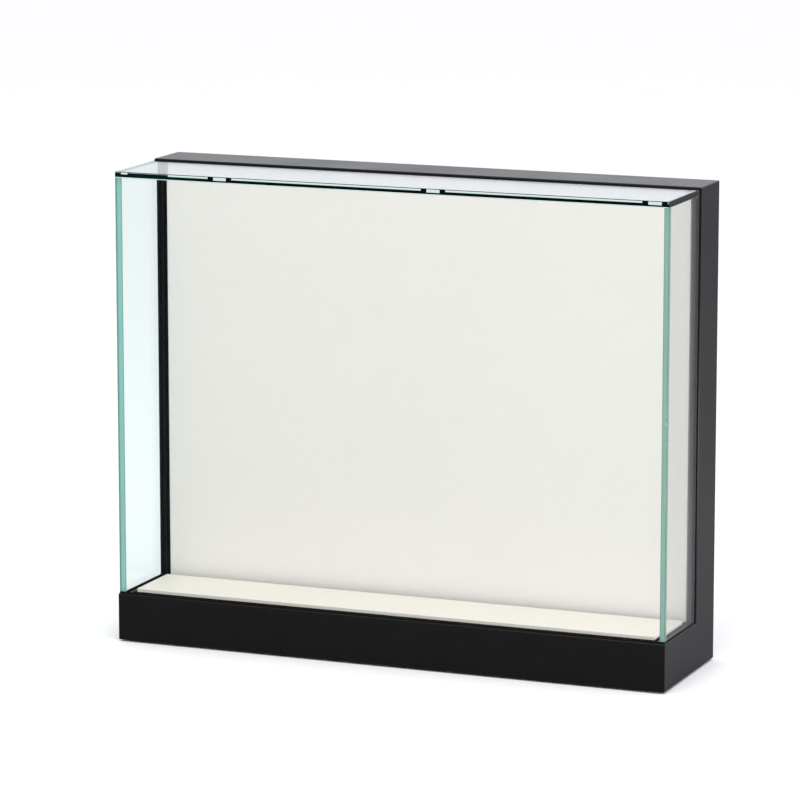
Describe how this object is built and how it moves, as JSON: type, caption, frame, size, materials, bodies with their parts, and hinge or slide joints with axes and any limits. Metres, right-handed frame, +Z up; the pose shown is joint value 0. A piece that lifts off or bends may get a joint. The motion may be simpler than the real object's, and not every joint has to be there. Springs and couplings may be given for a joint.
{
  "type": "glass display case",
  "caption": "Table-top display case: a black L-shaped carcass with white back and floor linings, closed by a lift-off hood of bonded clear glass.",
  "frame": {"origin": "under the middle of the case, on the surface that its feet stand on", "axes": "+Z up, the glass front faces -Y, +X to the right seen from the front"},
  "size_m": [0.5, 0.131, 0.413],
  "materials": {
    "black_lacquer": "satin black lacquer on board",
    "black_board": "matt black stained board",
    "white_board": "matt off-white lacquer on board",
    "white_panel": "matt off-white sheet",
    "raw_wood": "planed softwood",
    "clear_glass": "clear float glass with polished edges",
    "clear_bond": "clear cured adhesive",
    "black_seal": "matt cellular rubber",
    "foot_rubber": "matt rubber",
    "black_screw": "black oxide",
    "zinc_screw": "zinc plated"
  },
  "bodies": {
    "carcass": {"left_cheek": "black_lacquer", "right_cheek": "black_lacquer", "front_rail": "black_lacquer", "top_rail": "black_lacquer", "base_deck": "black_lacquer", "rear_rail": "black_board", "bottom_board": "black_board", "rear_cover": "black_board", "left_batten": "raw_wood", "right_batten": "raw_wood", "top_batten": "raw_wood", "corner_blocks": "raw_wood", "dowels": "raw_wood", "panel_screws": "zinc_screw", "cover_screws": "black_screw", "bottom_screws": "black_screw", "feet": "foot_rubber", "floor_panel": "white_panel", "back_panel": "white_board", "base_seal": "black_seal", "back_seal": "black_seal"},
    "hood": {"front_glass": "clear_glass", "left_glass": "clear_glass", "right_glass": "clear_glass", "top_glass": "clear_glass", "bond_film": "clear_bond"}
  },
  "joints": [
    {"name": "hood_lift", "type": "slide", "parent": "carcass", "child": "hood", "axis": [0, 0, 1], "range_m": [0, 0.38]}
  ]
}
